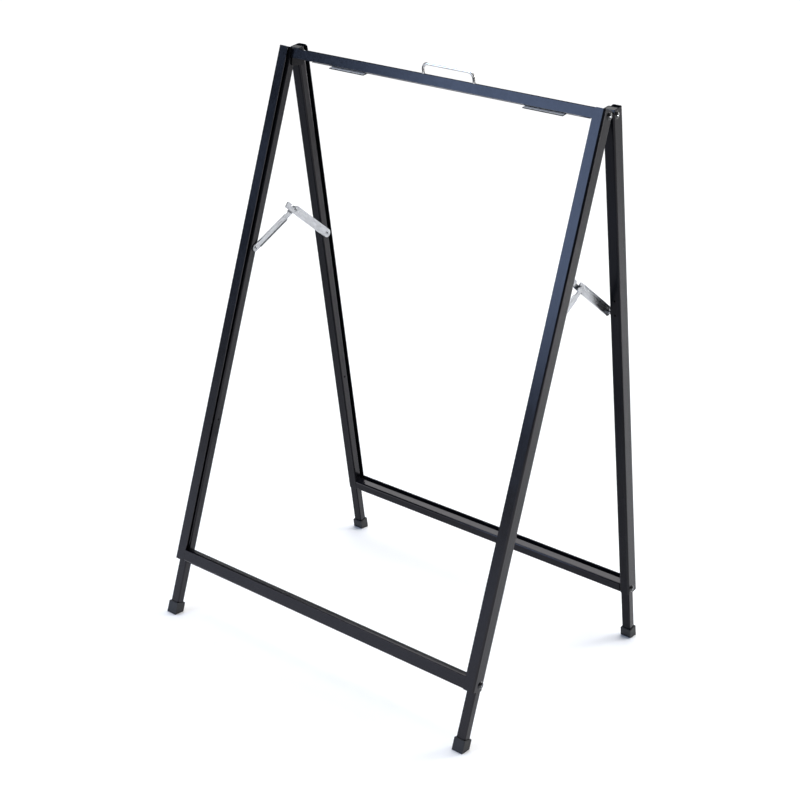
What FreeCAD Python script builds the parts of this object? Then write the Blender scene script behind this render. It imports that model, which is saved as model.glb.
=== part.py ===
import FreeCAD, Part
import math
import os
from types import SimpleNamespace

import Sketcher

# A folding A-shaped sign stand. Two slide-in frames lean against each other and hang on two hinge
# plates at the top; two folding stays hold them apart half-way down. +X is across the stand, the
# front frame is on the -Y side, +Z is up and the floor is Z = 0 under the middle of the stand.

Vector = FreeCAD.Vector
document = FreeCAD.newDocument("SignStand")

# ---------------------------------------------------------------- driving dimensions

driving = {
    "frame_width": 616.0,
    "stand_height": 920.5,
    "lean_angle": 13.8,
    "top_reach": 22.4,  # outer face of a frame's top edge, from the middle plane
    "upright_length": 852.0,
    # the slotted section: a flat tube with an L-shaped retainer in front of it
    "section_width": 18.5,
    "section_depth": 23.5,
    "slot_back": 7.6,
    "lip": 1.5,
    "wall": 1.2,
    "corner": 3.0,
    "lip_corner": 5.0,
    "rail_tube_height": 17.5,
    "top_cut_depth": 4.0,
    "top_cut_length": 6.0,
    # top bar, a channel that is open towards the middle of the stand
    "bar_face": 9.6,
    "bar_back": 19.0,
    "bar_height": 15.0,
    "front_bar_drop": 1.0,
    "rear_bar_drop": 5.5,
    "bar_notch": 24.0,
    # legs and feet
    "leg_width": 16.0,
    "leg_depth": 13.4,
    "leg_corner": 2.0,
    "leg_overlap": 60.0,
    "foot_width": 19.6,
    "foot_depth": 17.4,
    "foot_height": 18.0,
    "foot_sole": 4.0,
    # hinge plates and pivot bolts
    "hinge_drop": 8.5,
    "hinge_depth": 15.3,
    "plate_gap": 0.3,
    "plate_thickness": 2.0,
    "plate_nose": 4.2,
    "plate_fall": 19.5,
    "shank": 2.5,
    "bolt_head": 6.0,
    "bolt_head_height": 3.4,
    "head_dome": 7.5,
    "hole_play": 0.05,
    "leg_screw_drop": 10.0,
    "leg_screw_length": 7.0,
    # folding stays
    "stay_drop": 325.0,
    "stay_depth": 18.5,
    "arm_length": 97.5,
    "arm_sheet": 1.5,
    "flange_start": 9.0,  # from the pivot or the elbow
    "front_arm_gap": 0.6,  # from the upright to the front arm's eye
    "arm_splay": 2.4,  # how much further in an arm is at the elbow than at its rivet
    "arm_stack": 5.2,  # from the front arm to the rear arm at the elbow
    "outer_bend": 8.0,
    "elbow_bend": 9.0,
    "front_arm_width": 11.6,
    "front_flange": 1.4,
    "front_web_length": 78.0,
    "front_flange_end": 77.0,
    "tongue_inset": 1.4,
    "tooth_start": 85.0,
    "tooth_length": 6.0,
    "tooth_height": 1.2,
    "rear_arm_width": 14.6,
    "rear_flange": 2.0,
    "rear_flange_inset": 4.0,
    "elbow_reach": 3.0,  # how far the rear arm runs past the elbow before its neck
    "neck_reach": 14.0,
    "neck_height": 0.5,
    "thumb_reach": 25.0,
    "thumb_height": 4.0,
    "thumb_inset": 0.5,
    "thumb_corner": 2.0,
    "gauge_hole": 1.3,
    # rivets, nuts and the recess in the pan heads
    "rivet": 2.0,
    "rivet_head": 3.6,
    "rivet_head_height": 1.4,
    "rivet_dome": 5.4,
    "spacer_wall": 1.6,
    "sheet_play": 0.1,
    "open_pivot_gap": 0.4,
    "nut_corner": 4.6,
    "nut_height": 4.0,
    "nut_collar": 3.6,
    "nut_total": 5.0,
    "recess_length": 5.6,
    "recess_width": 1.2,
    "recess_depth": 1.5,
    # carrying handle
    "wire": 2.5,
    "handle_pitch": 96.0,
    "handle_rise": 18.6,
    "handle_bend": 10.0,
    "handle_offset": 9.5,
    "handle_depth": 14.3,
    "handle_below": 8.0,
    "handle_nut_corner": 3.9,
    "handle_nut_height": 3.0,
    # ledge tabs under the rear bar
    "ledge_near": 152.0,
    "ledge_far": 223.0,
    "ledge_front": 26.0,
    "ledge_back": 13.0,
    "ledge_sheet": 1.5,
    # small holes punched in the uprights
    "spare_hole_drop": 612.0,
    "upper_pair_drop": 302.0,
    "lower_pair_drop": 326.0,
    "small_hole": 1.7,
    # plastic end plugs
    "plug_top": 0.5,
    "plug_bottom": 4.5,
    "foot_rim": 0.8,
    "plate_corner": 4.0,
}

lean = math.radians(driving["lean_angle"])


def seen_upright(drop, depth):
    """Where a point of the front frame lies, as (y, z): drop is down the slant, depth into it."""
    y = -driving["top_reach"] - drop * math.sin(lean) + depth * math.cos(lean)
    z = driving["stand_height"] - drop * math.cos(lean) - depth * math.sin(lean)
    return y, z


# Places that follow from the lean: every piece that is not inside a leaning frame hangs on these.
hinge_y, hinge_z = seen_upright(driving["hinge_drop"], driving["hinge_depth"])
stay_y, stay_z = seen_upright(driving["stay_drop"], driving["stay_depth"])
arm_angle = math.degrees(math.acos(-stay_y / driving["arm_length"]))
elbow_z = stay_z + driving["arm_length"] * math.sin(math.radians(arm_angle))
# The leg's middle line starts half-way through the tube and meets the floor this far down the slant.
leg_depth_middle = (driving["slot_back"] + driving["section_depth"]) / 2
leg_reach = (driving["stand_height"] - leg_depth_middle * math.sin(lean)) / math.cos(lean)
following = {
    "hinge_y": -hinge_y,
    "hinge_z": hinge_z,
    "stay_y": -stay_y,
    "stay_z": stay_z,
    "elbow_z": elbow_z,
    "arm_angle": arm_angle,
    "leg_reach": leg_reach,
    "floor_slope": math.tan(lean),
}

sheet = document.addObject("Spreadsheet::Sheet", "Size")
size = SimpleNamespace()
for row, (alias, value) in enumerate({**driving, **following}.items(), start=1):
    sheet.set(f"A{row}", alias)
    sheet.set(f"B{row}", repr(value))
    sheet.setAlias(f"B{row}", alias)
    setattr(size, alias, f"Size.{alias}")
document.recompute()

half = f"{size.frame_width} / 2"
inner_face = f"({half} - {size.section_width})"


def number(expression):
    return float(sheet.evalExpression(str(expression)))


# ---------------------------------------------------------------- modelling helpers
# A range is a (low, high) pair of expressions along one axis.

RIGHT, LEFT = 1, -1
FRONT, REAR = 1, -1
SIDES = {LEFT: "left", RIGHT: "right"}
FACES = {FRONT: "front", REAR: "rear"}


def mirrored(sign, near, far):
    """The range from near to far on the positive side, or its mirror image."""
    if sign > 0:
        return f"({near})", f"({far})"
    return f"-({far})", f"-({near})"


def span(axis_range):
    low, high = axis_range
    return f"{high} - ({low})"


def new_body(label):
    body = document.addObject("PartDesign::Body", label)
    body.Label = label
    return body


def lean_with(thing, face):
    """Puts a piece that is drawn upright, with its top edge at Z = 0, into a leaning frame."""
    thing.Placement = FreeCAD.Placement(Vector(0, 0, 0), FreeCAD.Rotation(Vector(-face, 0, 0), 1))
    thing.setExpression("Placement.Rotation.Angle", size.lean_angle)
    thing.setExpression("Placement.Base.y", f"{-face} * {size.top_reach}")
    thing.setExpression("Placement.Base.z", size.stand_height)


def origin_plane(body, role):
    return next(item for item in body.Origin.OriginFeatures if item.Role == role)


def new_sketch(body, name, role, offset):
    sketch = body.newObject("Sketcher::SketchObject", name)
    sketch.AttachmentSupport = [(origin_plane(body, role), "")]
    sketch.MapMode = "FlatFace"
    sketch.setExpression("AttachmentOffset.Base.z", offset)
    return sketch


def pin_point(sketch, line, x, y):
    """Fixes the start of a line at two expressions, measured from the sketch's origin."""
    for kind, expression in (("DistanceX", x), ("DistanceY", y)):
        row = sketch.addConstraint(Sketcher.Constraint(kind, -1, 1, line, 1, number(expression)))
        sketch.setExpression(f"Constraints[{row}]", str(expression))


def outline(sketch, points):
    corners = [Vector(number(x), number(y), 0) for x, y in points]
    count = len(corners)
    for index, corner in enumerate(corners):
        sketch.addGeometry(Part.LineSegment(corner, corners[(index + 1) % count]), False)
    for index in range(count):
        sketch.addConstraint(Sketcher.Constraint("Coincident", index, 2, (index + 1) % count, 1))
    for index, (x, y) in enumerate(points):
        pin_point(sketch, index, x, y)


def rectangle(sketch, x, y):
    outline(sketch, [(x[0], y[0]), (x[1], y[0]), (x[1], y[1]), (x[0], y[1])])


def circle(sketch, x, y, radius):
    sketch.addGeometry(Part.Circle(Vector(number(x), number(y), 0), Vector(0, 0, 1), number(radius)), False)
    for kind, expression in (("DistanceX", x), ("DistanceY", y)):
        row = sketch.addConstraint(Sketcher.Constraint(kind, -1, 1, 0, 3, number(expression)))
        sketch.setExpression(f"Constraints[{row}]", str(expression))
    row = sketch.addConstraint(Sketcher.Constraint("Radius", 0, number(radius)))
    sketch.setExpression(f"Constraints[{row}]", str(radius))


def extrude(body, kind, name, sketch, length):
    feature = body.newObject(f"PartDesign::{kind}", name)
    feature.Profile = sketch
    feature.setExpression("Length", length)
    sketch.Visibility = False
    document.recompute()
    return feature


def block(body, name, x, y, z):
    sketch = new_sketch(body, f"{name}_sketch", "XY_Plane", z[0])
    rectangle(sketch, x, y)
    return extrude(body, "Pad", name, sketch, span(z))


def window(body, name, x, y, z):
    """Cuts a box out of the body."""
    before = body.Shape.Volume
    sketch = new_sketch(body, f"{name}_sketch", "XY_Plane", z[1])
    rectangle(sketch, x, y)
    feature = extrude(body, "Pocket", name, sketch, span(z))
    if body.Shape.Volume > before - 0.01:
        raise RuntimeError(f"{body.Label}: {name} cuts nothing")
    return feature


def side_disc(body, name, x, y, z, radius):
    """A round boss whose axis is along X."""
    sketch = new_sketch(body, f"{name}_sketch", "YZ_Plane", x[0])
    circle(sketch, y, z, radius)
    return extrude(body, "Pad", name, sketch, span(x))


def side_hole(body, name, x, y, z, radius):
    """A round hole whose axis is along X."""
    before = body.Shape.Volume
    sketch = new_sketch(body, f"{name}_sketch", "YZ_Plane", x[1])
    circle(sketch, y, z, radius)
    feature = extrude(body, "Pocket", name, sketch, span(x))
    if body.Shape.Volume > before - 0.01:
        raise RuntimeError(f"{body.Label}: {name} cuts nothing")
    return feature


def side_cut(body, name, x, points):
    """Cuts a prism whose section lies in the YZ plane."""
    sketch = new_sketch(body, f"{name}_sketch", "YZ_Plane", x[1])
    outline(sketch, points)
    return extrude(body, "Pocket", name, sketch, span(x))


def back_hole(body, name, x, z, face, radius):
    """A round hole through an upright's back wall."""
    before = body.Shape.Volume
    # the XZ plane faces -Y, so the sketch's offset runs along -Y
    skin = mirrored(-face, f"{size.section_depth} - 2 * {size.wall}", f"{size.section_depth} + 1")
    sketch = new_sketch(body, f"{name}_sketch", "XZ_Plane", skin[1])
    circle(sketch, x, z, radius)
    feature = extrude(body, "Pocket", name, sketch, span(skin))
    if body.Shape.Volume > before - 0.01:
        raise RuntimeError(f"{body.Label}: {name} cuts nothing")
    return feature


def round_edges(body, name, edges, radius):
    """Rounds the straight edges whose middles are given as (x, y, z) expressions."""
    previous = body.Tip
    shape = previous.Shape
    middles = [Vector(*(number(value) for value in edge)) for edge in edges]
    picked = []
    for index, edge in enumerate(shape.Edges, start=1):
        middle = (edge.Vertexes[0].Point + edge.Vertexes[-1].Point) / 2
        if any(middle.distanceToPoint(wanted) < 0.01 for wanted in middles):
            picked.append(f"Edge{index}")
    if len(picked) != len(edges):
        raise RuntimeError(f"{body.Label}: {name} found {len(picked)} of {len(edges)} edges")
    feature = body.newObject("PartDesign::Fillet", name)
    feature.Base = (previous, picked)
    feature.setExpression("Radius", radius)
    document.recompute()
    return feature


# ---------------------------------------------------------------- the slotted section
# A member is drawn with inset, the distance in from its outer edge, and depth, the distance behind
# the lip's face. An upright's inset runs across the stand; a rail's inset runs up from its bottom.


class Member:
    def __init__(self, face, side=None):
        self.face = face
        self.side = side

    def place(self, inset, depth, run):
        if self.side is None:
            bottom = f"-{size.upright_length}"
            z = (f"{bottom} + {inset[0]}", f"{bottom} + {inset[1]}")
            return run, mirrored(self.face, *depth), z
        x = mirrored(self.side, f"{half} - ({inset[1]})", f"{half} - ({inset[0]})")
        return x, mirrored(self.face, *depth), run

    def edge(self, inset, depth, run):
        """Middle of a long edge."""
        x, y, z = self.place((inset, inset), (depth, depth), run)
        return tuple(f"({axis[0]} + ({axis[1]})) / 2" for axis in (x, y, z))


def make_tube(label, member, run, width):
    body = new_body(label)
    back = size.section_depth
    front = size.slot_back
    block(body, "outer", *member.place(("0", width), (front, back), run))
    rounded = [
        member.edge("0", back, run),
        member.edge(width, back, run),
        member.edge(width, front, run),
    ]
    round_edges(body, "outer_corners", rounded, size.corner)
    inset = (size.wall, f"{width} - {size.wall}")
    depth = (f"{front} + {size.wall}", f"{back} - {size.wall}")
    window(body, "bore", *member.place(inset, depth, run))
    inner = [member.edge(a, b, run) for a in inset for b in depth]
    round_edges(body, "bore_corners", inner, f"{size.corner} - {size.wall}")
    return body


def make_retainer(label, member, run):
    """The L-shaped lip that holds a panel in front of the tube."""
    body = new_body(label)
    block(body, "lip", *member.place(("0", size.section_width), ("0", size.lip), run))
    block(body, "web", *member.place(("0", size.wall), (size.lip, size.slot_back), run))
    round_edges(body, "outer_corner", [member.edge("0", "0", run)], size.corner)
    inner = [member.edge(size.wall, size.lip, run)]
    round_edges(body, "inner_corner", inner, f"{size.corner} - {size.lip}")
    return body


upright_run = (f"-{size.upright_length}", "0")
rail_run = (f"-{inner_face}", inner_face)
tube_middle = f"({size.slot_back} + {size.section_depth}) / 2"


def across_upright(side, near="0", far=size.section_width):
    return mirrored(side, f"{half} - ({far})", f"{half} - ({near})")


def make_upright(face, side):
    name = f"{FACES[face]}_{SIDES[side]}_upright"
    member = Member(face, side)
    tube = make_tube(f"{name}_tube", member, upright_run, size.section_width)
    through = across_upright(side, "-1", f"{size.section_width} + 1")
    back = size.section_depth
    cut = [
        (f"{face} * ({back} - {size.top_cut_depth})", "0"),
        (f"{face} * ({back} + 2)", "0"),
        (f"{face} * ({back} + 2)", f"-{size.top_cut_length} - 3"),
        (f"{face} * {back}", f"-{size.top_cut_length}"),
    ]
    side_cut(tube, "top_cut", through, cut)
    play = size.hole_play
    hinge_hole = (f"{face} * {size.hinge_depth}", f"-{size.hinge_drop}", f"{size.shank} + {play}")
    side_hole(tube, "hinge_hole", through, *hinge_hole)
    inner_wall = across_upright(side, f"{size.section_width} - 2 * {size.wall}", f"{size.section_width} + 1")
    stay_hole = (f"{face} * {size.stay_depth}", f"-{size.stay_drop}", f"{size.rivet} + {play}")
    side_hole(tube, "stay_hole", inner_wall, *stay_hole)
    middle_depth = f"{face} * {tube_middle}"
    side_hole(tube, "spare_hole", inner_wall, middle_depth, f"-{size.spare_hole_drop}", size.small_hole)
    middle_x = f"{side} * ({half} - {size.section_width} / 2)"
    for name_of_hole, drop in (("upper_pair", size.upper_pair_drop), ("lower_pair", size.lower_pair_drop)):
        back_hole(tube, name_of_hole, middle_x, f"-{drop}", face, size.small_hole)
    outer_wall = across_upright(side, "-1", f"2 * {size.wall}")
    screw_drop = f"-({size.upright_length} - {size.leg_screw_drop})"
    side_hole(tube, "screw_hole", outer_wall, middle_depth, screw_drop, f"{size.shank} + {play}")
    retainer = make_retainer(f"{name}_retainer", member, upright_run)
    lip_end = [
        f"{side} * ({half} - {size.section_width})",
        f"{face} * {size.lip} / 2",
        "0",
    ]
    round_edges(retainer, "lip_corner", [lip_end], size.lip_corner)
    return [tube, retainer]


def make_rail(face):
    member = Member(face)
    name = f"{FACES[face]}_bottom_rail"
    tube = make_tube(f"{name}_tube", member, rail_run, size.rail_tube_height)
    retainer = make_retainer(f"{name}_retainer", member, rail_run)
    return [tube, retainer]


def make_top_bar(face):
    """A channel whose flanges stop short of its ends, to leave room for the hinge plates."""
    drop = size.front_bar_drop if face == FRONT else size.rear_bar_drop
    body = new_body(f"{FACES[face]}_top_bar")
    top = f"-{drop}"
    bottom = f"-{drop} - {size.bar_height}"
    face_skin = mirrored(face, size.bar_face, f"{size.bar_face} + {size.wall}")
    block(body, "face_skin", rail_run, face_skin, (bottom, top))
    flange_run = (f"-{inner_face} + {size.bar_notch}", f"{inner_face} - {size.bar_notch}")
    flange_depth = mirrored(face, size.bar_face, size.bar_back)
    block(body, "top_flange", flange_run, flange_depth, (f"{top} - {size.wall}", top))
    block(body, "bottom_flange", flange_run, flange_depth, (bottom, f"{bottom} + {size.wall}"))
    return body


# ---------------------------------------------------------------- legs and feet


def make_leg(face, side):
    body = new_body(f"{FACES[face]}_{SIDES[side]}_leg")
    middle = f"{half} - {size.section_width} / 2"
    x = mirrored(side, f"{middle} - {size.leg_width} / 2", f"{middle} + {size.leg_width} / 2")
    y = mirrored(face, f"{tube_middle} - {size.leg_depth} / 2", f"{tube_middle} + {size.leg_depth} / 2")
    z = (f"-{size.leg_reach} + {size.foot_sole}", f"-{size.upright_length} + {size.leg_overlap}")
    block(body, "outer", x, y, z)
    z_middle = f"({z[0]} + ({z[1]})) / 2"
    round_edges(body, "corners", [(a, b, z_middle) for a in x for b in y], size.leg_corner)
    bore_x = (f"{x[0]} + {size.wall}", f"{x[1]} - {size.wall}")
    bore_y = (f"{y[0]} + {size.wall}", f"{y[1]} - {size.wall}")
    window(body, "bore", bore_x, bore_y, z)
    drop = f"-({size.upright_length} - {size.leg_screw_drop})"
    outer_wall = across_upright(side, "0", f"3 * {size.wall}")
    screw_hole = f"{size.shank} + {size.hole_play}"
    side_hole(body, "screw_hole", outer_wall, f"{face} * {tube_middle}", drop, screw_hole)
    lean_with(body, face)
    return body


def make_foot(face, side):
    """A rubber cap over the leg's end, with its sole cut level with the floor."""
    body = new_body(f"{FACES[face]}_{SIDES[side]}_foot")
    middle = f"{half} - {size.section_width} / 2"
    x = mirrored(side, f"{middle} - {size.foot_width} / 2", f"{middle} + {size.foot_width} / 2")
    y_near = f"{tube_middle} - {size.foot_depth} / 2"
    y_far = f"{tube_middle} + {size.foot_depth} / 2"
    y = mirrored(face, y_near, y_far)
    lowest = f"-{size.leg_reach} - {size.foot_depth}"
    top = f"-{size.leg_reach} + {size.foot_height}"
    block(body, "cap", x, y, (lowest, top))
    top_middle = [(f"({x[0]} + ({x[1]})) / 2", edge, top) for edge in y]
    top_middle += [(edge, f"({y[0]} + ({y[1]})) / 2", top) for edge in x]
    round_edges(body, "rim", top_middle, size.foot_rim)
    # the floor plane, seen from the leaning leg
    rise = f"{size.floor_slope} * ({size.foot_depth} / 2 + 2)"
    near = f"{face} * ({y_near} - 2)"
    far = f"{face} * ({y_far} + 2)"
    floor = [
        (near, f"-{size.leg_reach} - {rise}"),
        (far, f"-{size.leg_reach} + {rise}"),
        (far, f"{lowest} - 5"),
        (near, f"{lowest} - 5"),
    ]
    side_cut(body, "level_sole", (f"{x[0]} - 1", f"{x[1]} + 1"), floor)
    leg_x = mirrored(side, f"{middle} - {size.leg_width} / 2", f"{middle} + {size.leg_width} / 2")
    leg_y = mirrored(face, f"{tube_middle} - {size.leg_depth} / 2", f"{tube_middle} + {size.leg_depth} / 2")
    socket = (f"-{size.leg_reach} + {size.foot_sole}", f"{top} + 1")
    window(body, "socket", leg_x, leg_y, socket)
    lean_with(body, face)
    return body


# ---------------------------------------------------------------- hinge plates


def inside(side, near, far):
    """A range in X, measured from an upright's inner face towards the middle of the stand."""
    return mirrored(side, f"{inner_face} - ({far})", f"{inner_face} - ({near})")


def make_hinge_plate(side):
    body = new_body(f"{SIDES[side]}_hinge_plate")
    thickness = inside(side, size.plate_gap, f"{size.plate_gap} + {size.plate_thickness}")
    nose = f"({size.hinge_y} + {size.plate_nose})"
    block(body, "bridge", thickness, (f"-{size.hinge_y}", size.hinge_y), ("0", size.plate_nose))
    block(body, "apron", thickness, (f"-{nose}", nose), (f"-{size.plate_fall}", "0"))
    for face in FACES:
        y = f"{-face} * {size.hinge_y}"
        side_disc(body, f"{FACES[face]}_eye", thickness, y, "0", size.plate_nose)
    x_middle = f"({thickness[0]} + ({thickness[1]})) / 2"
    lower = [(x_middle, f"{-face} * {nose}", f"-{size.plate_fall}") for face in FACES]
    round_edges(body, "lower_corners", lower, size.plate_corner)
    for face in FACES:
        hole = inside(side, f"{size.plate_gap} - 1", f"{size.plate_gap} + {size.plate_thickness} + 1")
        y = f"{-face} * {size.hinge_y}"
        side_hole(body, f"{FACES[face]}_hole", hole, y, "0", f"{size.shank} + {size.hole_play}")
    body.setExpression("Placement.Base.z", size.hinge_z)
    return body


# ---------------------------------------------------------------- folding stays


def strip(body, name, side, gap, bends, thickness, height):
    """A strip of bent sheet. bends are (distance, rise) pairs and rise is away from the upright."""
    near, far = thickness
    there = [(f"{side} * ({inner_face} - ({gap} + {rise} + {near}))", y) for y, rise in bends]
    back = [(f"{side} * ({inner_face} - ({gap} + {rise} + {far}))", y) for y, rise in reversed(bends)]
    sketch = new_sketch(body, f"{name}_sketch", "XY_Plane", height[0])
    outline(sketch, there + back)
    return extrude(body, "Pad", name, sketch, span(height))


def sheet_at(side, gap):
    return inside(side, gap, f"{gap} + {size.arm_sheet}")


def make_front_arm(side):
    """The narrow arm: a shallow channel that ends in a flat tongue with a locking tooth."""
    body = new_body(f"{SIDES[side]}_front_arm")
    gap = size.front_arm_gap
    half_width = f"{size.front_arm_width} / 2"
    tongue = f"({half_width} - {size.tongue_inset})"
    slope_end = f"({size.arm_length} - {size.elbow_bend})"

    def rise(distance):
        run = f"({slope_end} - {size.outer_bend})"
        return f"{size.arm_splay} * ({distance} - {size.outer_bend}) / {run}"

    web_end = size.front_web_length
    skin = ("0", size.arm_sheet)
    flat_part = [("0", "0"), (size.outer_bend, "0")]
    last_part = [(slope_end, size.arm_splay), (size.arm_length, size.arm_splay)]
    web = flat_part + [(web_end, rise(web_end))]
    strip(body, "web", side, gap, web, skin, (f"-{half_width}", half_width))
    strip(body, "tongue", side, gap, [(web_end, rise(web_end))] + last_part, skin, (f"-{tongue}", tongue))
    side_disc(body, "pivot_eye", sheet_at(side, gap), "0", "0", half_width)
    elbow_sheet = sheet_at(side, f"{gap} + {size.arm_splay}")
    side_disc(body, "elbow_eye", elbow_sheet, size.arm_length, "0", half_width)
    tooth_end = f"{size.tooth_start} + {size.tooth_length}"
    tooth = [(size.tooth_start, rise(size.tooth_start)), last_part[0], (tooth_end, size.arm_splay)]
    strip(body, "tooth", side, gap, tooth, skin, ("0", f"{half_width} + {size.tooth_height}"))
    along = [(place, rise(place)) for place in (size.flange_start, size.front_flange_end)]
    flange = (size.arm_sheet, f"{size.arm_sheet} + {size.front_flange}")
    for edge in (LEFT, RIGHT):
        height = mirrored(edge, f"{half_width} - {size.wall}", half_width)
        strip(body, f"flange_{SIDES[edge]}", side, gap, along, flange, height)
    elbow_skin = f"{gap} + {size.arm_splay}"
    for name, y, eye in (("pivot_hole", "0", gap), ("elbow_hole", size.arm_length, elbow_skin)):
        through = inside(side, f"{eye} - 1", f"{eye} + {size.arm_sheet} + 1")
        side_hole(body, name, through, y, "0", f"{size.rivet} + {size.hole_play}")
    body.Placement = FreeCAD.Placement(Vector(0, 0, 0), FreeCAD.Rotation(Vector(1, 0, 0), 1))
    body.setExpression("Placement.Rotation.Angle", size.arm_angle)
    body.setExpression("Placement.Base.y", f"-{size.stay_y}")
    body.setExpression("Placement.Base.z", size.stay_z)
    return body


elbow_gap = f"({size.front_arm_gap} + {size.arm_splay} + {size.arm_stack})"
rear_eye_gap = f"({size.front_arm_gap} + {size.arm_stack})"


def make_rear_arm(side):
    """The wide arm: a channel whose flanges face the upright, with a thumb tab past the elbow."""
    body = new_body(f"{SIDES[side]}_rear_arm")
    half_width = f"{size.rear_arm_width} / 2"
    web_start = f"-{size.elbow_reach}"
    neck_start = f"-{size.neck_reach}"
    tab_start = f"-{size.thumb_reach}"
    tab_low = f"-{half_width} + {size.thumb_inset}"
    slope_end = f"({size.arm_length} - {size.outer_bend})"

    def rise(distance):
        run = f"({slope_end} - {size.elbow_bend})"
        return f"-{size.arm_splay} * ({distance} - {size.elbow_bend}) / {run}"

    skin = ("0", size.arm_sheet)
    fall = f"-{size.arm_splay}"
    web = [(web_start, "0"), (size.elbow_bend, "0"), (slope_end, fall), (size.arm_length, fall)]
    strip(body, "web", side, elbow_gap, web, skin, (f"-{half_width}", half_width))
    side_disc(body, "pivot_eye", sheet_at(side, rear_eye_gap), size.arm_length, "0", half_width)
    flat = sheet_at(side, elbow_gap)
    block(body, "neck", flat, (neck_start, web_start), (f"-{half_width}", size.neck_height))
    block(body, "thumb_tab", flat, (tab_start, neck_start), (tab_low, size.thumb_height))
    flange_end = f"{size.arm_length} - {size.rear_flange_inset}"
    along = [(size.elbow_bend, "0"), (slope_end, fall), (flange_end, fall)]
    for edge in (LEFT, RIGHT):
        height = mirrored(edge, f"{half_width} - {size.wall}", half_width)
        strip(body, f"flange_{SIDES[edge]}", side, elbow_gap, along, (f"-{size.rear_flange}", "0"), height)
    x_middle = f"({flat[0]} + ({flat[1]})) / 2"
    corners = [(x_middle, tab_start, size.thumb_height), (x_middle, tab_start, tab_low)]
    round_edges(body, "tab_corners", corners, size.thumb_corner)
    round_edges(body, "elbow_corner", [(x_middle, web_start, half_width)], size.elbow_reach)
    for name, y, eye in (("pivot_hole", size.arm_length, rear_eye_gap), ("elbow_hole", "0", elbow_gap)):
        through = inside(side, f"{eye} - 1", f"{eye} + {size.arm_sheet} + 1")
        side_hole(body, name, through, y, "0", f"{size.rivet} + {size.hole_play}")
    gauge = inside(side, f"{elbow_gap} - 1", f"{elbow_gap} + {size.arm_sheet} + 1")
    side_hole(body, "gauge_hole", gauge, size.flange_start, "-1", size.gauge_hole)
    body.Placement = FreeCAD.Placement(Vector(0, 0, 0), FreeCAD.Rotation(Vector(-1, 0, 0), 1))
    body.setExpression("Placement.Rotation.Angle", size.arm_angle)
    body.setExpression("Placement.Base.z", size.elbow_z)
    return body


# ---------------------------------------------------------------- turned hardware
# Drawn along +Z from the seat under the head, then laid along X.


def primitive(kind, name, **sizes):
    thing = document.addObject(f"Part::{kind}", name)
    for key, expression in sizes.items():
        thing.setExpression(key, str(expression))
    return thing


def lay_along_x(thing, toward, x, y, z):
    """Turns +Z to point along toward * X and moves the seat to a place."""
    turn = FreeCAD.Rotation(Vector(0, 1, 0), 90 * toward)
    thing.Placement = FreeCAD.Placement(Vector(0, 0, 0), turn)
    thing.setExpression("Placement.Base.x", x)
    thing.setExpression("Placement.Base.y", y)
    thing.setExpression("Placement.Base.z", z)
    return thing


def domed_head(name, radius, height, dome):
    cylinder = primitive("Cylinder", f"{name}_blank", Radius=radius, Height=height)
    ball = primitive("Sphere", f"{name}_ball", Radius=dome)
    ball.setExpression("Placement.Base.z", f"{height} - {dome}")
    head = document.addObject("Part::Common", f"{name}_head")
    head.Base = cylinder
    head.Tool = ball
    return head


def fused(name, shapes):
    joined = document.addObject("Part::MultiFuse", name)
    joined.Shapes = shapes
    return joined


def pan_bolt(name, length):
    """A pan-head bolt with a cross recess."""
    shank = primitive("Cylinder", f"{name}_shank", Radius=size.shank, Height=f"{length} + 1")
    shank.setExpression("Placement.Base.z", f"-({length})")
    head = domed_head(name, size.bolt_head, size.bolt_head_height, size.head_dome)
    blank = fused(f"{name}_solid", [shank, head])
    slots = []
    ways = ((size.recess_length, size.recess_width), (size.recess_width, size.recess_length))
    for index, (length_way, width_way) in enumerate(ways):
        slot = primitive(
            "Box",
            f"{name}_slot{index}",
            Length=length_way,
            Width=width_way,
            Height=f"2 * {size.recess_depth}",
        )
        slot.setExpression("Placement.Base.x", f"-{length_way} / 2")
        slot.setExpression("Placement.Base.y", f"-{width_way} / 2")
        slot.setExpression("Placement.Base.z", f"{size.bolt_head_height} - {size.recess_depth}")
        slots.append(slot)
    recess = fused(f"{name}_recess", slots)
    bolt = document.addObject("Part::Cut", name)
    bolt.Base = blank
    bolt.Tool = recess
    return bolt


def rivet(name, length, shoulder=None):
    """A dome-headed rivet; the shoulder is a spacer between two sheets."""
    shank = primitive("Cylinder", f"{name}_shank", Radius=size.rivet, Height=f"{length} + 1")
    shank.setExpression("Placement.Base.z", f"-({length})")
    head = domed_head(name, size.rivet_head, size.rivet_head_height, size.rivet_dome)
    pieces = [shank, head]
    if shoulder:
        start, end = shoulder
        width = f"{size.rivet} + {size.spacer_wall}"
        spacer = primitive("Cylinder", f"{name}_spacer", Radius=width, Height=f"{end} - ({start})")
        spacer.setExpression("Placement.Base.z", f"-({end})")
        pieces.append(spacer)
    return fused(name, pieces)


def lock_nut(name):
    """A hexagon nut with a round collar, drawn from its seat."""
    hexagon = primitive("Prism", f"{name}_hexagon", Circumradius=size.nut_corner, Height=size.nut_height)
    hexagon.Polygon = 6
    collar = primitive("Cylinder", f"{name}_collar", Radius=size.nut_collar, Height=size.nut_total)
    blank = fused(f"{name}_solid", [hexagon, collar])
    bore = primitive("Cylinder", f"{name}_bore", Radius=size.shank, Height=f"{size.nut_total} + 1")
    nut = document.addObject("Part::Cut", name)
    nut.Base = blank
    nut.Tool = bore
    return nut


def group(label, items):
    compound = document.addObject("Part::Compound", label)
    compound.Label = label
    compound.Links = items
    return compound


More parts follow.
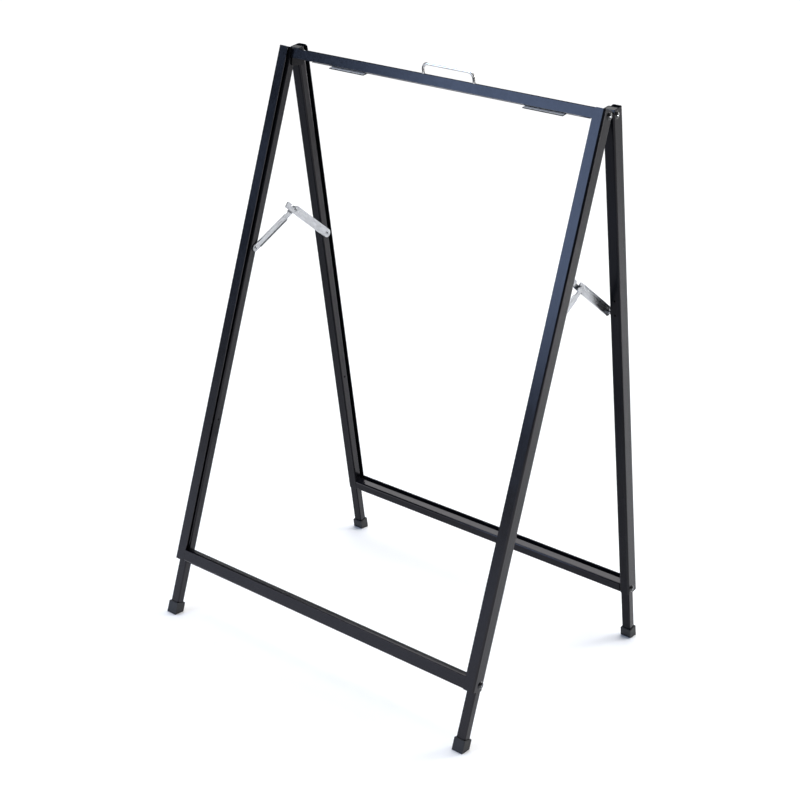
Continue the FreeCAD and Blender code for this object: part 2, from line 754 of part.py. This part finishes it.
def make_hinge_bolts(face):
    through_plate = f"{size.section_width} + 2 * {size.plate_gap} + {size.plate_thickness}"
    length = f"{through_plate} + {size.nut_total} + {size.plate_gap}"
    bolts = []
    for side in SIDES:
        bolt = pan_bolt(f"hinge_bolt_{FACES[face]}_{SIDES[side]}", length)
        seat = (f"{side} * {half}", f"{-face} * {size.hinge_y}", size.hinge_z)
        bolts.append(lay_along_x(bolt, side, *seat))
    return group(f"{FACES[face]}_hinge_bolts", bolts)


def make_hinge_nuts(face):
    nuts = []
    for side in SIDES:
        nut = lock_nut(f"hinge_nut_{FACES[face]}_{SIDES[side]}")
        inset = f"{inner_face} - 2 * {size.plate_gap} - {size.plate_thickness}"
        seat = (f"{side} * ({inset})", f"{-face} * {size.hinge_y}", size.hinge_z)
        nuts.append(lay_along_x(nut, -side, *seat))
    return group(f"{FACES[face]}_hinge_nuts", nuts)


def make_leg_screws(face):
    drop = f"({size.upright_length} - {size.leg_screw_drop})"
    sine = f"sin({size.lean_angle} * 1deg)"
    cosine = f"cos({size.lean_angle} * 1deg)"
    y = f"{-face} * ({size.top_reach} + {drop} * {sine} - {tube_middle} * {cosine})"
    z = f"{size.stand_height} - {drop} * {cosine} - {tube_middle} * {sine}"
    screws = []
    for side in SIDES:
        screw = pan_bolt(f"leg_screw_{FACES[face]}_{SIDES[side]}", size.leg_screw_length)
        screws.append(lay_along_x(screw, side, f"{side} * {half}", y, z))
    return group(f"{FACES[face]}_leg_screws", screws)


def make_end_plugs(face):
    """Plastic plugs in the open tops of the upright tubes."""
    plugs = []
    for side in SIDES:
        body = new_body(f"plug_{FACES[face]}_{SIDES[side]}")
        x = across_upright(side, size.wall, f"{size.section_width} - {size.wall}")
        y = mirrored(face, f"{size.slot_back} + {size.wall}", f"{size.section_depth} - {size.wall}")
        z = (f"-{size.plug_bottom}", f"-{size.plug_top}")
        block(body, "plug", x, y, z)
        upright_edges = [(a, b, f"-({size.plug_bottom} + {size.plug_top}) / 2") for a in x for b in y]
        round_edges(body, "corners", upright_edges, f"{size.corner} - {size.wall}")
        cut = [
            (f"{face} * ({size.section_depth} - {size.top_cut_depth} - {size.wall})", "0"),
            (f"{face} * {size.section_depth}", "0"),
            (f"{face} * {size.section_depth}", f"-{size.top_cut_length} - 3"),
        ]
        side_cut(body, "top_cut", (f"{x[0]} - 1", f"{x[1]} + 1"), cut)
        lean_with(body, face)
        plugs.append(body)
    return group(f"{FACES[face]}_end_plugs", plugs)


def make_front_rivets():
    """Rivets that hold the front arms to the front uprights."""
    rivets = []
    for side in SIDES:
        seat = f"{size.front_arm_gap} + {size.arm_sheet} + {size.sheet_play}"
        washer = (f"{size.arm_sheet} + 2 * {size.sheet_play}", seat)
        item = rivet(f"front_rivet_{SIDES[side]}", f"{seat} + {size.wall}", washer)
        place = (f"{side} * ({inner_face} - ({seat}))", f"-{size.stay_y}", size.stay_z)
        rivets.append(lay_along_x(item, -side, *place))
    return group("front_stay_rivets", rivets)


def make_elbow_rivet(side):
    seat = f"{elbow_gap} + {size.arm_sheet} + {size.sheet_play}"
    low = f"{size.front_arm_gap} + {size.arm_splay} - {size.sheet_play}"
    spacer_end = f"{size.arm_stack}"
    spacer = (f"{size.arm_sheet} + 2 * {size.sheet_play}", spacer_end)
    item = rivet(f"{SIDES[side]}_elbow_rivet", f"{seat} - ({low})", spacer)
    item.Label = f"{SIDES[side]}_elbow_rivet"
    place = (f"{side} * ({inner_face} - ({seat}))", "0", size.elbow_z)
    return lay_along_x(item, -side, *place)


def make_rear_rivet(side):
    """Rides the rear arm; it stops just short of the upright, where the linkage is opened."""
    seat = f"{rear_eye_gap} + {size.arm_sheet} + {size.sheet_play}"
    end = f"{seat} - {size.open_pivot_gap}"
    item = rivet(f"{SIDES[side]}_rear_rivet", end, (f"{size.arm_sheet} + 2 * {size.sheet_play}", end))
    item.Label = f"{SIDES[side]}_rear_rivet"
    place = (f"{side} * ({inner_face} - ({seat}))", size.stay_y, size.stay_z)
    return lay_along_x(item, -side, *place)


# ---------------------------------------------------------------- handle and ledge tabs


def make_handle():
    """A bent wire handle that stands on the rear top bar."""
    half_pitch = f"{size.handle_pitch} / 2"
    straight = f"{size.handle_rise} - {size.handle_bend}"
    below = size.handle_below
    parts = []
    for side in SIDES:
        name = f"handle_leg_{SIDES[side]}"
        leg = primitive("Cylinder", name, Radius=size.wire, Height=f"{straight} + {below}")
        leg.setExpression("Placement.Base.x", f"{side} * {half_pitch} + {size.handle_offset}")
        leg.setExpression("Placement.Base.y", f"-{size.handle_depth}")
        leg.setExpression("Placement.Base.z", f"-{size.rear_bar_drop} - {below}")
        bend = primitive("Torus", f"handle_bend_{SIDES[side]}", Radius1=size.handle_bend, Radius2=size.wire)
        bend.Angle3 = 90
        # the quarter ring is drawn in the XY plane and stood up into the XZ plane
        stand_up = FreeCAD.Rotation(Vector(1, 0, 0), 90)
        turn = FreeCAD.Rotation(Vector(0, 0, 1), 0 if side == RIGHT else 180)
        bend.Placement = FreeCAD.Placement(Vector(0, 0, 0), turn.multiply(stand_up))
        bend_x = f"{side} * ({half_pitch} - {size.handle_bend}) + {size.handle_offset}"
        bend.setExpression("Placement.Base.x", bend_x)
        bend.setExpression("Placement.Base.y", f"-{size.handle_depth}")
        bend.setExpression("Placement.Base.z", f"-{size.rear_bar_drop} + {straight}")
        parts += [leg, bend]
    reach = f"{size.handle_pitch} - 2 * {size.handle_bend}"
    grip = primitive("Cylinder", "handle_grip", Radius=size.wire, Height=reach)
    grip.Placement = FreeCAD.Placement(Vector(0, 0, 0), FreeCAD.Rotation(Vector(0, 1, 0), 90))
    grip.setExpression("Placement.Base.x", f"-({half_pitch}) + {size.handle_bend} + {size.handle_offset}")
    grip.setExpression("Placement.Base.y", f"-{size.handle_depth}")
    grip.setExpression("Placement.Base.z", f"-{size.rear_bar_drop} + {size.handle_rise}")
    parts.append(grip)
    handle = fused("carry_handle", parts)
    handle.Label = "carry_handle"
    lean_with(handle, REAR)
    return handle


def make_handle_nuts():
    """Small nuts that hold the handle's legs under the bar's top flange."""
    nuts = []
    for side in SIDES:
        name = f"handle_nut_{SIDES[side]}"
        height = size.handle_nut_height
        blank = primitive("Prism", f"{name}_blank", Circumradius=size.handle_nut_corner, Height=height)
        blank.Polygon = 6
        bore_radius = f"{size.wire} + {size.hole_play}"
        bore = primitive("Cylinder", f"{name}_bore", Radius=bore_radius, Height=height)
        nut = document.addObject("Part::Cut", name)
        nut.Base = blank
        nut.Tool = bore
        nut.setExpression("Placement.Base.x", f"{side} * {size.handle_pitch} / 2 + {size.handle_offset}")
        nut.setExpression("Placement.Base.y", f"-{size.handle_depth}")
        nut.setExpression("Placement.Base.z", f"-{size.rear_bar_drop} - {size.wall} - {height}")
        nuts.append(nut)
    nuts_group = group("handle_nuts", nuts)
    lean_with(nuts_group, REAR)
    return nuts_group


def drill_for_handle(bar):
    for side in SIDES:
        name = f"handle_hole_{SIDES[side]}"
        sketch = new_sketch(bar, f"{name}_sketch", "XY_Plane", f"-{size.rear_bar_drop}")
        x = f"{side} * {size.handle_pitch} / 2 + {size.handle_offset}"
        circle(sketch, x, f"-{size.handle_depth}", f"{size.wire} + {size.hole_play}")
        extrude(bar, "Pocket", name, sketch, f"2 * {size.wall}")


def make_ledge_tabs():
    """Two small flat ledges that reach forward under the rear bar, one towards each side."""
    tabs = []
    for side in SIDES:
        body = new_body(f"ledge_{SIDES[side]}")
        x = mirrored(side, size.ledge_near, size.ledge_far)
        y = (f"-{size.ledge_front}", f"-{size.ledge_back}")
        top = f"-{size.rear_bar_drop} - {size.bar_height}"
        block(body, "ledge", x, y, (f"{top} - {size.ledge_sheet}", top))
        lean_with(body, REAR)
        tabs.append(body)
    return group("rear_ledge_tabs", tabs)


# ---------------------------------------------------------------- build and write

nodes = []
for face in FACES:
    for side in SIDES:
        for body in make_upright(face, side):
            lean_with(body, face)
            nodes.append(body)
        nodes.append(make_leg(face, side))
        nodes.append(make_foot(face, side))
    for body in make_rail(face):
        lean_with(body, face)
        nodes.append(body)
    bar = make_top_bar(face)
    if face == REAR:
        drill_for_handle(bar)
    lean_with(bar, face)
    nodes.append(bar)
    nodes.append(make_hinge_bolts(face))
    nodes.append(make_hinge_nuts(face))
    nodes.append(make_leg_screws(face))
    nodes.append(make_end_plugs(face))
nodes.append(make_front_rivets())
for side in SIDES:
    nodes.append(make_hinge_plate(side))
    nodes.append(make_front_arm(side))
    nodes.append(make_rear_arm(side))
    nodes.append(make_elbow_rivet(side))
    nodes.append(make_rear_rivet(side))
nodes.append(make_handle())
nodes.append(make_handle_nuts())
nodes.append(make_ledge_tabs())
document.recompute()

for item in document.Objects:
    if "Invalid" in item.State or "Error" in item.State:
        raise RuntimeError(f"{item.Label} is {item.State}")
for node in nodes:
    if node.Shape.isNull() or not node.Shape.isValid():
        raise RuntimeError(f"{node.Label} has no valid shape")

os.makedirs("parts", exist_ok=True)
for node in nodes:
    node.Shape.exportStep(f"parts/{node.Label}.step")
print(len(nodes), "nodes written")
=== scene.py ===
import math

import bpy
from mathutils import Matrix, Vector


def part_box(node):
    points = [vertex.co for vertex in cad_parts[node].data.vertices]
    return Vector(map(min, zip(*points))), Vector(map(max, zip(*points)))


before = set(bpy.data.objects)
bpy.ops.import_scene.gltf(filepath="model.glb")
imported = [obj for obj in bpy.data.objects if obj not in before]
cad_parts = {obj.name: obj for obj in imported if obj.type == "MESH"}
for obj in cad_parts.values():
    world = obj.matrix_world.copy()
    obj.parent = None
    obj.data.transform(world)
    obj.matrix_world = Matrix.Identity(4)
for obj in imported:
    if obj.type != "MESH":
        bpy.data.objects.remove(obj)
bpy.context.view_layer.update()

MM = 0.001
FLOOR_GAP = 0.3 * MM
STAY_SLOPE = 32.8  # degrees, of an arm of the open stay
ZINC_TINT = (0.40, 0.41, 0.43)
ZINC_NUT_TINT = (0.42, 0.43, 0.45)
COAT_LEVEL = 0.27  # specular level
# Specular level of a duller copy of the coat for the hinge plates, as painted shade.
PAINTED_SHADE_COAT_LEVEL = 0.14
SHARP_ANGLE = 35  # degrees, above which an edge is rounded

# ---------------------------------------------------------------- camera


def place_camera():
    """Looks down from the front right, with a slight roll, as the photograph does."""
    yaw, pitch, roll = (math.radians(angle) for angle in (33.561, 17.757, 5.054))
    forward = Vector((-math.sin(yaw) * math.cos(pitch), math.cos(yaw) * math.cos(pitch), -math.sin(pitch)))
    right = Vector((math.cos(yaw), math.sin(yaw), 0))
    up = right.cross(forward)
    right, up = (
        right * math.cos(roll) + up * math.sin(roll),
        up * math.cos(roll) - right * math.sin(roll),
    )
    data = bpy.data.cameras.new("camera")
    data.sensor_width = 36
    data.lens = 69.63
    data.shift_x = -0.1675
    data.shift_y = -0.085
    data.clip_end = 500
    camera = bpy.data.objects.new("camera", data)
    bpy.context.collection.objects.link(camera)
    turn = Matrix((right, up, -forward)).transposed().to_4x4()
    camera.matrix_world = Matrix.Translation((1.4231, -1.8313, 1.27)) @ turn
    bpy.context.scene.camera = camera


# ---------------------------------------------------------------- light and floor


def sun(name, azimuth, elevation, strength, softness, colour=(1, 1, 1)):
    """A distant lamp; azimuth is counted from -Y towards +X."""
    data = bpy.data.lights.new(name, "SUN")
    data.energy = strength
    data.angle = math.radians(softness)
    data.color = colour
    lamp = bpy.data.objects.new(name, data)
    a, e = math.radians(azimuth), math.radians(elevation)
    source = Vector((math.sin(a) * math.cos(e), -math.cos(a) * math.cos(e), math.sin(e)))
    lamp.rotation_euler = source.to_track_quat("Z", "Y").to_euler()
    bpy.context.collection.objects.link(lamp)


def softbox(name, place, target, width, height, power, colour=(1, 1, 1)):
    data = bpy.data.lights.new(name, "AREA")
    data.shape = "RECTANGLE"
    data.size = width
    data.size_y = height
    data.energy = power
    data.color = colour
    lamp = bpy.data.objects.new(name, data)
    lamp.location = place
    lamp.rotation_euler = (Vector(place) - Vector(target)).to_track_quat("Z", "Y").to_euler()
    bpy.context.collection.objects.link(lamp)


def light_studio():
    world = bpy.data.worlds.new("studio")
    bpy.context.scene.world = world
    world.use_nodes = True
    background = world.node_tree.nodes["Background"]
    background.inputs["Color"].default_value = (0.95, 0.97, 1.0, 1)
    background.inputs["Strength"].default_value = 0.08
    sun("top_light", 205, 70, 3.46, 70)
    softbox("front_box", (-1.74, -3.6, 1.8), (0.0, 0, 0.8), 2.2, 1.8, 92, (0.46, 0.64, 1.0))
    softbox("back_box", (1.6, 3.2, 2.4), (0.5, 1.2, 0), 3.0, 1.6, 18)
    softbox("catch_box", (1.55, 2.7, 1.55), (0.3, 0, 0.9), 0.9, 0.9, 34)
    softbox("wall_box", (-2.3, 3.9, 1.9), (0, 0, 0.6), 3.4, 1.5, 9)
    softbox("floor_box", (2.6, 1.2, 2.0), (1.6, 1.6, 0), 1.6, 1.6, 5)


def lay_floor():
    mesh = bpy.data.meshes.new("floor")
    reach = 150
    corners = [(-reach, -reach, 0), (reach, -reach, 0), (reach, reach, 0), (-reach, reach, 0)]
    mesh.from_pydata(corners, [], [(0, 1, 2, 3)])
    floor = bpy.data.objects.new("floor", mesh)
    floor.location.z = -FLOOR_GAP
    bpy.context.collection.objects.link(floor)
    material = bpy.data.materials.new("floor_paper")
    material.use_nodes = True
    shader = material.node_tree.nodes["Principled BSDF"]
    shader.inputs["Base Color"].default_value = (0.93, 0.93, 0.935, 1)
    shader.inputs["Roughness"].default_value = 0.9
    mesh.materials.append(material)


# ---------------------------------------------------------------- materials


class Finish:
    """A small builder for a node material in the object's own coordinates."""

    def __init__(self, name):
        self.material = bpy.data.materials.new(name)
        self.material.use_nodes = True
        self.nodes = self.material.node_tree.nodes
        self.links = self.material.node_tree.links
        self.shader = self.nodes["Principled BSDF"]
        where = self.nodes.new("ShaderNodeTexCoord")
        self.place = where.outputs["Object"]
        self.facing = where.outputs["Normal"]

    def set(self, **values):
        for name, value in values.items():
            self.shader.inputs[name.replace("_", " ")].default_value = value

    def link(self, source, target):
        self.links.new(source, target)

    def stretched(self, x, y, z):
        node = self.nodes.new("ShaderNodeMapping")
        node.inputs["Scale"].default_value = (x, y, z)
        self.link(self.place, node.inputs["Vector"])
        return node.outputs["Vector"]

    def turned(self, degrees, scale):
        """Coordinates turned about X so that the second one runs down a slope, then scaled."""
        turn = self.nodes.new("ShaderNodeMapping")
        turn.inputs["Rotation"].default_value = (math.radians(degrees), 0, 0)
        self.link(self.place, turn.inputs["Vector"])
        node = self.nodes.new("ShaderNodeMapping")
        node.inputs["Scale"].default_value = scale
        self.link(turn.outputs["Vector"], node.inputs["Vector"])
        return node.outputs["Vector"]

    def near_axis(self, node_name, inner, outer, ragged=0.0):
        """1 close to the X-axis line through a node's middle, 0 beyond outer."""
        low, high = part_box(node_name)
        middle = [(a + b) / 2 for a, b in zip(low, high)]
        y = self.math("SUBTRACT", self.axis(self.place, "Y"), middle[1])
        z = self.math("SUBTRACT", self.axis(self.place, "Z"), middle[2])
        squares = self.math("ADD", self.math("MULTIPLY", y, y), self.math("MULTIPLY", z, z))
        distance = self.math("SQRT", squares, 0.0)
        if ragged:
            wander = self.ramp(self.noise(1500, 3, 0.6), 0.3, 0.7, -ragged, ragged)
            distance = self.math("ADD", distance, wander)
        return self.ramp(distance, inner, outer, 1, 0)

    def axis(self, vector, name):
        node = self.nodes.new("ShaderNodeSeparateXYZ")
        self.link(vector, node.inputs["Vector"])
        return node.outputs[name]

    def noise(self, scale, detail=3.0, rough=0.5, vector=None):
        node = self.nodes.new("ShaderNodeTexNoise")
        node.inputs["Scale"].default_value = scale
        node.inputs["Detail"].default_value = detail
        node.inputs["Roughness"].default_value = rough
        self.link(vector or self.place, node.inputs["Vector"])
        return node.outputs["Fac"]

    def ramp(self, source, low, high, start, end):
        """Maps source from (low, high) to (start, end), and holds it there."""
        node = self.nodes.new("ShaderNodeMapRange")
        for name, value in (("From Min", low), ("From Max", high), ("To Min", start), ("To Max", end)):
            node.inputs[name].default_value = value
        self.link(source, node.inputs["Value"])
        return node.outputs["Result"]

    def math(self, kind, a, b):
        node = self.nodes.new("ShaderNodeMath")
        node.operation = kind
        for index, value in enumerate((a, b)):
            if isinstance(value, (int, float)):
                node.inputs[index].default_value = value
            else:
                self.link(value, node.inputs[index])
        return node.outputs[0]

    def mix(self, factor, first, second):
        node = self.nodes.new("ShaderNodeMix")
        node.data_type = "RGBA"
        self.link(factor, node.inputs["Factor"])
        for name, colour in (("A", first), ("B", second)):
            socket = next(s for s in node.inputs if s.name == name and s.type == "RGBA")
            if isinstance(colour, tuple):
                socket.default_value = (*colour, 1)
            else:
                self.link(colour, socket)
        return next(s for s in node.outputs if s.type == "RGBA")

    def bump(self, height, strength, distance, under=None):
        node = self.nodes.new("ShaderNodeBump")
        node.inputs["Strength"].default_value = strength
        node.inputs["Distance"].default_value = distance
        self.link(height, node.inputs["Height"])
        if under:
            self.link(under, node.inputs["Normal"])
        return node.outputs["Normal"]

    def colour(self, source):
        self.link(source, self.shader.inputs["Base Color"])

    def roughness(self, source):
        self.link(source, self.shader.inputs["Roughness"])

    def normal(self, source):
        self.link(source, self.shader.inputs["Normal"])


def powder_coat(name, gloss):
    """Satin blue-black coating with orange peel, a cloudy gloss and floor dust low down.

    gloss is its specular level, which is lowered on undersides and on top faces near the top as painted
    shade."""
    finish = Finish(name)
    cloud = finish.noise(7, 4, 0.6)
    fine = finish.noise(160, 3, 0.6)
    patches = finish.ramp(cloud, 0.35, 0.65, 0, 1)
    coat = finish.mix(patches, (0.0026, 0.0029, 0.004), (0.0045, 0.0052, 0.007))
    height = finish.axis(finish.place, "Z")
    low = finish.ramp(height, 0.42, 0.02, 0, 1)
    dust = finish.math("MULTIPLY", low, finish.ramp(finish.noise(24, 5, 0.7), 0.3, 0.7, 0.45, 1.0))
    finish.colour(finish.mix(dust, coat, (0.0055, 0.0056, 0.0080)))
    finish.roughness(
        finish.math("ADD", finish.ramp(cloud, 0.3, 0.7, 0.17, 0.24), finish.ramp(fine, 0.3, 0.7, -0.02, 0.03))
    )
    # Painted shade: the specular level is cut on faces that look down and on faces that look up near the top,
    # dimming their reflections.
    upward = finish.axis(finish.facing, "Z")
    level = finish.ramp(upward, -0.22, -0.02, 0.3 * gloss, gloss)
    high = finish.ramp(height, 0.8, 0.85, 0, 1)
    painted_dull_crown = finish.math("MULTIPLY", finish.ramp(upward, 0.35, 0.6, 0, 0.9), high)
    level = finish.math("MULTIPLY", level, finish.math("SUBTRACT", 1.0, painted_dull_crown))
    level = finish.math("ADD", level, finish.ramp(dust, 0, 1, 0, 0.05))
    finish.link(level, finish.shader.inputs["Specular IOR Level"])
    peel = finish.bump(finish.noise(520, 2, 0.5), 0.1, 0.0003)
    finish.normal(finish.bump(finish.noise(60, 2, 0.5), 0.04, 0.001, peel))
    finish.set(Specular_Tint=(1.0, 0.95, 1.0, 1))
    return finish.material


def zinc(name, tint, rough, turn=0.0, grain=(60, 700)):
    """Bright zinc plate with rolling marks along the part and a faint cloudy passivation.

    turn is the part's slope in the YZ plane, in degrees; grain is the density along and across it."""
    finish = Finish(name)
    cloud = finish.noise(38, 3, 0.5)
    fine = finish.noise(1, 4, 0.65, finish.turned(turn, (500, *grain)))
    tone = finish.math("ADD", finish.ramp(cloud, 0.3, 0.7, 0, 0.6), finish.ramp(fine, 0.3, 0.7, 0, 0.4))
    finish.colour(finish.mix(tone, tint, tuple(c * 0.74 for c in tint)))
    marks = finish.ramp(fine, 0.3, 0.7, rough - 0.04, rough + 0.07)
    finish.roughness(finish.math("ADD", marks, finish.ramp(cloud, 0.3, 0.7, -0.02, 0.03)))
    finish.normal(finish.bump(fine, 0.12, 0.00012))
    finish.set(Metallic=1.0)
    return finish


def rivet_finish(name, node):
    """Zinc plate with a dark disc painted in the middle of the head: painted shade standing in for the open
    bore of a tubular rivet.
    """
    finish = zinc(name, ZINC_TINT, 0.24, 0, (500, 500))
    # Painted shade: a dark disc for the shade inside the rivet's bore.
    painted_bore_shade = finish.near_axis(node, 0.9 * MM, 1.35 * MM)
    shade = finish.shader.inputs["Base Color"].links[0].from_socket
    finish.colour(finish.mix(painted_bore_shade, shade, (0.012, 0.012, 0.013)))
    return finish.material


def ledge_painted_light():
    """Light grey top faces as a painted highlight, and black on the edges and undersides as painted shade."""
    finish = Finish("ledge_painted_light")
    cloud = finish.noise(70, 3, 0.6)
    # Painted light: faces that look up are light grey as a painted highlight, all other faces black as
    # painted shade.
    top = finish.ramp(finish.axis(finish.facing, "Z"), 0.6, 0.8, 0, 1)
    painted_top_sheen = finish.mix(finish.ramp(cloud, 0.3, 0.7, 0, 1), (0.78, 0.79, 0.81), (0.66, 0.67, 0.69))
    finish.colour(finish.mix(top, (0.004, 0.004, 0.005), painted_top_sheen))
    finish.roughness(finish.ramp(cloud, 0.3, 0.7, 0.35, 0.5))
    finish.normal(finish.bump(finish.noise(900, 2, 0.5), 0.1, 0.0002))
    finish.set(Specular_IOR_Level=0.06)
    return finish.material


def chrome():
    finish = Finish("chrome")
    cloud = finish.noise(60, 3, 0.6)
    patches = finish.ramp(cloud, 0.3, 0.7, 0, 1)
    finish.colour(finish.mix(patches, (0.92, 0.90, 0.87), (0.85, 0.835, 0.81)))
    scratch = finish.noise(1, 4, 0.7, finish.stretched(60, 2200, 2200))
    finish.roughness(finish.ramp(scratch, 0.35, 0.75, 0.2, 0.34))
    finish.normal(finish.bump(scratch, 0.04, 0.0002))
    finish.set(Metallic=1.0)
    return finish.material


def rubber():
    finish = Finish("rubber")
    cloud = finish.noise(40, 4, 0.6)
    patches = finish.ramp(cloud, 0.3, 0.7, 0, 1)
    finish.colour(finish.mix(patches, (0.008, 0.008, 0.0085), (0.018, 0.018, 0.019)))
    finish.roughness(finish.ramp(cloud, 0.3, 0.7, 0.5, 0.72))
    finish.normal(finish.bump(finish.noise(900, 3, 0.6), 0.25, 0.0003))
    return finish.material


def plastic():
    finish = Finish("plastic")
    cloud = finish.noise(80, 3, 0.6)
    patches = finish.ramp(cloud, 0.3, 0.7, 0, 1)
    finish.colour(finish.mix(patches, (0.01, 0.01, 0.011), (0.016, 0.016, 0.017)))
    finish.roughness(finish.ramp(cloud, 0.3, 0.7, 0.38, 0.5))
    finish.normal(finish.bump(finish.noise(1400, 2, 0.5), 0.2, 0.0002))
    return finish.material


def screw_finish(name, node):
    """Glossy black heads with fine scratches, worn to bright metal around the cross recess."""
    finish = Finish(name)
    cloud = finish.noise(220, 3, 0.6)
    black = finish.mix(finish.ramp(cloud, 0.3, 0.7, 0, 1), (0.003, 0.003, 0.0035), (0.007, 0.007, 0.008))
    worn = finish.near_axis(node, 1.3 * MM, 2.3 * MM, 0.7 * MM)
    finish.colour(finish.mix(worn, black, (0.78, 0.79, 0.80)))
    finish.link(worn, finish.shader.inputs["Metallic"])
    finish.roughness(finish.ramp(finish.noise(900, 4, 0.7), 0.3, 0.7, 0.08, 0.2))
    finish.normal(finish.bump(finish.noise(1600, 2, 0.5), 0.06, 0.0002))
    finish.set(Specular_IOR_Level=0.6)
    return finish.material


# ---------------------------------------------------------------- CAD nodes


def soften(piece, width, segments=2):
    """Joins the mesh's split corners and rounds its sharp edges."""
    weld = piece.modifiers.new("weld", "WELD")
    weld.merge_threshold = 1e-6
    bevel = piece.modifiers.new("bevel", "BEVEL")
    bevel.width = width
    bevel.segments = segments
    bevel.limit_method = "ANGLE"
    bevel.angle_limit = math.radians(SHARP_ANGLE)
    bevel.harden_normals = True
    bevel.use_clamp_overlap = True


def dress(node, material, width):
    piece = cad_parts[node]
    if not piece.material_slots:
        piece.data.materials.append(None)
    for slot in piece.material_slots:
        slot.material = material
    soften(piece, width)


def finish_nodes():
    coat = powder_coat("powder_coat", COAT_LEVEL)
    painted_shade_coat = powder_coat("painted_shade_coat", PAINTED_SHADE_COAT_LEVEL)
    front_sheet = zinc("zinc_front_arm", ZINC_TINT, 0.25, -STAY_SLOPE).material
    rear_sheet = zinc("zinc_rear_arm", ZINC_TINT, 0.25, STAY_SLOPE).material
    nut_zinc = zinc("zinc_nuts", ZINC_NUT_TINT, 0.24, 0, (500, 500)).material
    ledge = ledge_painted_light()
    bright = chrome()
    foot = rubber()
    plug = plastic()
    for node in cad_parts:
        if node.endswith("_foot"):
            dress(node, foot, 0.5 * MM)
        elif "plugs" in node:
            dress(node, plug, 0.25 * MM)
        elif node.endswith("_front_arm"):
            dress(node, front_sheet, 0.2 * MM)
        elif node.endswith("_rear_arm"):
            dress(node, rear_sheet, 0.2 * MM)
        elif "ledge" in node:
            dress(node, ledge, 0.2 * MM)
        elif "rivet" in node:
            dress(node, rivet_finish(f"zinc_{node}", node), 0.15 * MM)
        elif "nuts" in node:
            dress(node, nut_zinc, 0.15 * MM)
        elif node == "carry_handle":
            dress(node, bright, 0.2 * MM)
        elif "bolts" in node or "screws" in node:
            dress(node, screw_finish(f"black_{node}", node), 0.2 * MM)
        # Hinge plates get the duller copy of the coat: painted shade.
        elif "hinge_plate" in node:
            dress(node, painted_shade_coat, 0.25 * MM)
        else:
            dress(node, coat, 0.25 * MM)


# ---------------------------------------------------------------- make

bpy.context.scene.view_settings.view_transform = "Standard"
place_camera()
light_studio()
lay_floor()
finish_nodes()
